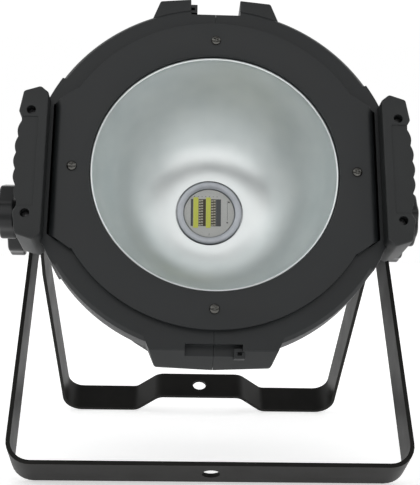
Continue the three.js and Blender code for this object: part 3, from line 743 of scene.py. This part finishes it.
PIVOTS = (("front", FRONT_PIVOT, FRONT_TOP, 90), ("rear", REAR_PIVOT, REAR_TOP, 112.5))
for place, pivot, top, phase in PIVOTS:
    wheel = knob_wheel(top, phase).at(0, pivot, 0)
    thread = stud(top).at(0, pivot, 0)
    outer = [(4.3, top + 0.3), (12, top + 0.3, 0.3), (12, top + 1.7, 0.4), (4.3, top + 1.7)]
    inner = [(4.3, top - 4.5), (15, top - 4.5, 0.4), (15, top - 3.3, 0.4), (4.3, top - 3.3)]
    ring = revolve(softened(outer), 64, "X")
    pad = revolve(softened(inner), 64, "X")
    sleeve = revolve([(4.15, 119), (6, 119), (6, top - 5.5), (5.6, top - 5.1), (4.6, top - 5.1),
                      (4.15, top - 5.6)], 48, "X")
    for side, flip in (("right", Matrix.Identity(4)), ("left", MIRROR)):
        end = f"{place}_{side}"
        piece(f"hand_knob_{end}", wheel.moved(flip), HEAD, f"knob_{end}")
        piece(f"stud_{end}", thread.moved(flip), HEAD, body=f"knob_{end}", slot="steel")
        piece(f"flat_washer_{end}", ring.at(0, pivot, 0).moved(flip), HEAD, f"outer_washer_{end}")
        piece(f"friction_washer_{end}", pad.at(0, pivot, 0).moved(flip), HEAD, f"inner_washer_{end}")
        piece(f"insert_{end}", sleeve.at(0, pivot, 0).moved(flip), HEAD, f"pivot_insert_{end}")


# ---- Brackets
def offset_path(corners, t):
    """Moves an open path of (x, z, radius) to its left, keeping its bends concentric."""
    normals = []
    for (x0, z0, _), (x1, z1, _) in zip(corners, corners[1:]):
        d = Vector((x1 - x0, z1 - z0)).normalized()
        normals.append(Vector((-d.y, d.x)))
    moved = []
    for i, (x, z, r) in enumerate(corners):
        a, b = normals[max(0, i - 1)], normals[min(len(normals) - 1, i)]
        mitre = (a + b) * (t / (1 + a.dot(b)))
        left = a.x * b.y - a.y * b.x > 0
        moved.append((x + mitre.x, z + mitre.y, r + (-t if left else t) if r else 0))
    return moved


def bracket(leg, bar, bar_half, length):
    left = [(-x, z, r) for x, z, r in reversed(leg)]
    path = [*left, (-bar_half, -length, 18), *bar, (bar_half, -length, 18), *leg]
    closed = path + list(reversed(offset_path(path, STRIP_T)))
    half = STRIP / 2
    width = arc(0, 0, half, 0, 180, 36) + [(-half, -length - 10), (half, -length - 10)]
    body = prism(softened(closed, 8), -half - 1, half + 1) & prism(width, -160, 160, "X")
    body = body - rod(4.4, -160, 160, "X", sides=40)
    return body - rod(STRIP_HOLE, -length - 10, -length + 30, "Z", sides=56)


raised = REAR_RAISE - REAR_LENGTH
RAISED_BAR = [(-62, -REAR_LENGTH, 12), (-40, raised, 12), (40, raised, 12), (62, -REAR_LENGTH, 12)]
piece("strip_front", bracket([(FRONT_TOP, 20, 0)], [], FRONT_BAR, FRONT_LENGTH), FRONT_PLACE, "front_bracket")
rear_leg = [(REAR_TOP, -REAR_KNEE, 60), (REAR_TOP, 20, 0)]
piece("strip_rear", bracket(rear_leg, RAISED_BAR, REAR_BAR, REAR_LENGTH), REAR_PLACE, "rear_bracket")

# ---- Floor, light and camera
floor_mesh = bpy.data.meshes.new("floor")
floor_mesh.from_pydata([(-6, -4, 0), (6, -4, 0), (6, 8, 0), (-6, 8, 0)], [], [(0, 1, 2, 3)])
floor = bpy.data.objects.new("floor", floor_mesh)
bpy.context.scene.collection.objects.link(floor)
paper = Nodes("paper")
along = paper.add("ShaderNodeSeparateXYZ")
paper.link(paper.place, along.inputs["Vector"])
nearby = paper.spread(along.outputs["Y"], 0, 1, -2.6, -1.2)
paper.link(paper.mix(nearby, (0.80, 0.80, 0.80), (0.86, 0.86, 0.86)), paper.shader.inputs["Base Color"])
paper.link(paper.spread(nearby, 0.25, 0.55, 0, 1), paper.shader.inputs["Emission Strength"])
paper.set(Roughness=0.9, Emission_Color=(1, 1, 1, 1))
floor_mesh.materials.append(paper.material)

world = bpy.data.worlds.new("studio")
world.use_nodes = True
tree = world.node_tree
tree.nodes.clear()
output = tree.nodes.new("ShaderNodeOutputWorld")
background = tree.nodes.new("ShaderNodeBackground")
direction = tree.nodes.new("ShaderNodeTexCoord")
split = tree.nodes.new("ShaderNodeSeparateXYZ")
tree.links.new(direction.outputs["Generated"], split.inputs["Vector"])


def world_ramp(axis, stops):
    """Grey levels along one axis of the world's direction, which runs from -1 to 1."""
    shift = tree.nodes.new("ShaderNodeMapRange")
    shift.inputs["From Min"].default_value = -1
    tree.links.new(split.outputs[axis], shift.inputs["Value"])
    ramp = tree.nodes.new("ShaderNodeValToRGB")
    ramp.color_ramp.interpolation = "EASE"
    while len(ramp.color_ramp.elements) < len(stops):
        ramp.color_ramp.elements.new(0.5)
    for element, (position, level) in zip(ramp.color_ramp.elements, stops):
        element.position = (position + 1) / 2
        element.color = (level, level, level, 1)
    tree.links.new(shift.outputs["Result"], ramp.inputs["Fac"])
    return ramp.outputs["Color"]


# White behind the light, a dim room in front of it, and a bright band above eye level
behind = world_ramp("Y", [(-1, 0.22), (0.3, 0.26), (0.92, 1.0)])
overhead = world_ramp("Z", [(0.2, 0.0), (0.58, 1.0), (0.84, 0.06)])
total = tree.nodes.new("ShaderNodeMix")
total.data_type = "RGBA"
total.blend_type = "ADD"
total.inputs["Factor"].default_value = 1.0
tree.links.new(behind, total.inputs["A"])
tree.links.new(overhead, total.inputs["B"])
tree.links.new(total.outputs["Result"], background.inputs["Color"])
background.inputs["Strength"].default_value = 1.0
tree.links.new(background.outputs["Background"], output.inputs["Surface"])
bpy.context.scene.world = world
bpy.context.scene.view_settings.view_transform = "Standard"


def soft_light(name, place, target, size, power, colour=(1, 1, 1)):
    lamp = bpy.data.lights.new(name, "AREA")
    lamp.shape = "RECTANGLE"
    lamp.size, lamp.size_y = size
    lamp.energy = power
    lamp.color = colour
    thing = bpy.data.objects.new(name, lamp)
    thing.location = place
    aim = Vector(target) - Vector(place)
    thing.rotation_euler = aim.to_track_quat("-Z", "Y").to_euler()
    bpy.context.scene.collection.objects.link(thing)


soft_light("top_light", (-0.35, -0.45, 1.0), (0, 0, 0.25), (1.5, 1.0), 1.2)

camera_data = bpy.data.cameras.new("camera")
camera_data.sensor_fit = "VERTICAL"
camera_data.sensor_height = 36
camera_data.lens = 69.588
camera_data.clip_start = 0.01
camera_data.clip_end = 60
camera = bpy.data.objects.new("camera", camera_data)
forward = Vector((0.040163, 0.999193, 0.000358)).normalized()
up = Vector((-0.019418, 0.000422, 0.999811))
right = forward.cross(up).normalized()
up = right.cross(forward)
turn = Matrix((right, up, -forward)).transposed()
camera.matrix_world = Matrix.Translation((-0.02992, -0.80203, 0.16899)) @ turn.to_4x4()
bpy.context.scene.collection.objects.link(camera)
bpy.context.scene.camera = camera
